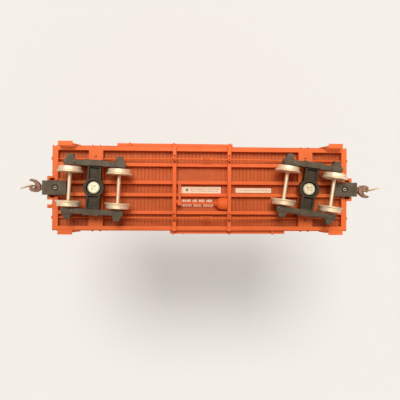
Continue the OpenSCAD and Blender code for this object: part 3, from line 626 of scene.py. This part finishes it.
def ratchet():
    """The toothed wheel and pawl of the hand brake, on the brakeman's step."""
    low, high = corners("brake_staff")
    at = Vector(((low.x + high.x) / 2, (low.y + high.y) / 2, RATCHET_Z))
    wheel, rings = Piece(), []
    for z in (0, RATCHET_T):
        ring = []
        for k in range(RATCHET_TEETH):
            for radius, share in (TOOTH_TIP, TOOTH_ROOT):
                a = 2 * math.pi * (k + share) / RATCHET_TEETH
                corner = at + Vector((radius * math.cos(a), radius * math.sin(a), z))
                ring.append(wheel.mesh.verts.new(corner))
        rings.append(ring)
    count = len(rings[0])
    for k in range(count):
        n = (k + 1) % count
        wheel.mesh.faces.new((rings[0][k], rings[0][n], rings[1][n], rings[1][k]))
    wheel.mesh.faces.new(rings[0][::-1])
    wheel.mesh.faces.new(rings[1])
    wheel.lathe(at + Z * 0.3, Z, [(0, 0), (0.6, 0), (0.6, 0.45), (0.5, 0.52), (0, 0.52)], 20)
    wheel.slab(at + Vector((-0.25, 1.12, 0.02)), at + Vector((0.15, 2.0, 0.36)), 0.35)
    wheel.dome(at + Vector((0.1, 1.85, 0.3)), Z, 0.26, 0.3)
    wheel.done("brake_ratchet", "car_body", "body")


PRINT_DEPTH, PRINT_T = 0.012, 0.01
WORD_GAP = 0.55
SMALL_GAPS, STROKES = (0.12, 0.3), (0.22, 0.5)
DISC_X, DISC_Y, DISC_R, DISC_T = 2.1, 0.38, 0.5, 0.022


def prints():
    """Plain printed marks: dashes and a disc on the labels, and two rows of white strokes on the floor."""
    low, high = corners("data_labels")
    face, floor_face = low.z, corners("floor")[0].z
    grey = ink("ink_grey", rgb(0.36, 0.31, 0.24), rgb(0.62, 0.54, 0.42))
    green = ink("ink_green", rgb(0.10, 0.22, 0.12), rgb(0.20, 0.32, 0.18))
    white = ink("ink_white", rgb(0.93, 0.82, 0.66), rgb(0.80, 0.62, 0.46))
    draw = random.Random(7)
    dashes, disc, strokes = Piece(), Piece(), Piece()

    def row(piece, start, stop, y, height, widths, gaps, depth, slant=0.0, words=0):
        """A row of marks of random width, in groups of 3 up to the number that words gives."""
        x, left = start, words and draw.randint(3, words)
        while x < stop:
            width = draw.uniform(*widths)
            tall = height * draw.uniform(0.75, 1.0)
            near, far = depth - PRINT_DEPTH, depth + PRINT_T
            piece.slab((x, y - tall / 2, near), (x + width, y + tall / 2, far), slant)
            x += width + draw.uniform(*gaps)
            if words:
                left -= 1
                if left == 0:
                    x, left = x + WORD_GAP, draw.randint(3, words)

    row(dashes, low.x + 4.1, low.x + 12.7, 0.12, 0.42, (0.25, 0.7), SMALL_GAPS, face)
    row(dashes, low.x + 4.1, low.x + 12.4, 0.78, 0.30, (0.3, 0.9), SMALL_GAPS, face)
    row(dashes, low.x + 3.3, low.x + 3.6, 0.35, 1.1, (0.3, 0.35), (0.2, 0.3), face, 0.35)
    row(dashes, high.x - 11.4, high.x - 1.0, 0.44, 0.34, (0.3, 1.0), (0.15, 0.4), face)
    disc.lathe((low.x + DISC_X, DISC_Y, face + PRINT_T), -Z,
               [(0, 0), (DISC_R, 0), (DISC_R, DISC_T), (0, DISC_T)], 28)
    row(strokes, low.x + 0.3, 4.4, 4.05, 1.0, STROKES, (0.14, 0.2), floor_face, -0.12, 7)
    row(strokes, low.x + 0.2, 4.2, 5.75, 0.85, STROKES, (0.12, 0.18), floor_face, -0.10, 8)
    dashes.done("label_dashes", "car_body", "label", grey)
    disc.done("label_disc", "car_body", "label", green)
    strokes.done("floor_marks", "car_body", "label", white)


for end in "ba":
    truck_fittings(end)
    coupler_fittings(end)
for side in ("left", "right"):
    door_hardware(side)
# Painted highlight rings on the coupler screws.
coupler_screw_highlights()
truss_rod_nuts()
sill_bolts()
ladder_bolts()
running_board_nails()
ratchet()
prints()


# ---------------------------------------------------------------- stage, lights, camera


def stage_plane(name, size, centre, faces_up, pale, paler):
    """A matt plane that shows from one side only and throws no shadow."""
    bpy.ops.mesh.primitive_plane_add(size=size, location=centre)
    plane = bpy.context.object
    plane.name = name
    plane.rotation_euler = (0 if faces_up else math.pi, 0, 0)
    m = Shade(name, roughness=0.85)
    m.put(m.mix(m.noise(900.0, 4.0), pale, paler), m.shader.inputs["Base Color"])
    clear = m.add("ShaderNodeBsdfTransparent")
    back = m.add("ShaderNodeNewGeometry").outputs["Backfacing"]
    either = m.add("ShaderNodeMixShader", {0: back, 1: m.shader.outputs[0], 2: clear.outputs[0]})
    m.tree.links.new(either.outputs[0], m.tree.nodes["Material Output"].inputs["Surface"])
    plane.data.materials.append(m.material)
    plane.visible_shadow = False
    return plane


def soft_sun(name, towards, softness, power, colour=(1.0, 1.0, 1.0)):
    """A wide, even light that shines along a direction; softness is its width in degrees."""
    data = bpy.data.lights.new(name, "SUN")
    data.angle = math.radians(softness)
    data.energy = power
    data.color = colour
    lamp = bpy.data.objects.new(name, data)
    lamp.rotation_euler = Vector(towards).to_track_quat("-Z", "Y").to_euler()
    scene.collection.objects.link(lamp)


# The car stands on the floor. The backdrop is what the view from below sees past the roof.
FLOOR_SIZE, BACKDROP_SIZE = 6.0, 250 * MM
BACKDROP_AT = Vector((9.5, 3, 142)) * MM
stage_plane("floor", FLOOR_SIZE, (0, 0, 0), True, rgb(0.74, 0.735, 0.72), rgb(0.80, 0.795, 0.78))
backdrop = stage_plane("backdrop", BACKDROP_SIZE, BACKDROP_AT, False,
                       rgb(0.60, 0.595, 0.58), rgb(0.64, 0.635, 0.62))
for ray in ("diffuse", "glossy", "transmission"):
    setattr(backdrop, f"visible_{ray}", False)

WARM = (1.0, 0.965, 0.92)
soft_sun("key_below", (0.03, 0.14, 0.34), 26, 2.45, WARM)
soft_sun("fill_below", (-0.20, -0.24, 0.30), 50, 0.40)
soft_sun("key_above", (-0.22, 0.30, -0.42), 24, 2.0, WARM)
soft_sun("fill_above", (0.32, -0.30, -0.20), 60, 0.5)


def studio_world(lighting, background):
    """A pale surround, with one strength as a light and another where the camera sees it."""
    world = bpy.data.worlds.new("studio")
    world.use_nodes = True
    tree = world.node_tree
    light, seen = tree.nodes["Background"], tree.nodes.new("ShaderNodeBackground")
    for shader, strength in ((light, lighting), (seen, background)):
        shader.inputs["Color"].default_value = rgb(0.93, 0.93, 0.92)
        shader.inputs["Strength"].default_value = strength
    rays, choice = tree.nodes.new("ShaderNodeLightPath"), tree.nodes.new("ShaderNodeMixShader")
    tree.links.new(rays.outputs["Is Camera Ray"], choice.inputs[0])
    tree.links.new(light.outputs[0], choice.inputs[1])
    tree.links.new(seen.outputs[0], choice.inputs[2])
    tree.links.new(choice.outputs[0], tree.nodes["World Output"].inputs["Surface"])
    scene.world = world


studio_world(0.40, 0.70)
scene.view_settings.view_transform = "Standard"

# The camera looks up at the underside. The two leans turn its line of sight towards +X and +Y,
# in degrees, and the roll turns the picture.
CAMERA_AT = Vector((-10.1, 4.8, -165.0)) * MM
LEAN_X, LEAN_Y, ROLL = 3.13, -0.32, -0.325
LENS = 46.1

sight = Vector((math.tan(math.radians(LEAN_X)), math.tan(math.radians(LEAN_Y)), 1)).normalized()
across = Vector((math.cos(math.radians(ROLL)), math.sin(math.radians(ROLL)), 0))
across = (across - sight * across.dot(sight)).normalized()
up = across.cross(sight)
camera_data = bpy.data.cameras.new("camera")
camera_data.lens = LENS
camera_data.sensor_width = 36
camera_data.clip_start = 1 * MM
camera = bpy.data.objects.new("camera", camera_data)
camera.matrix_world = Matrix.Translation(CAMERA_AT) @ Matrix((across, up, -sight)).transposed().to_4x4()
scene.collection.objects.link(camera)
scene.camera = camera
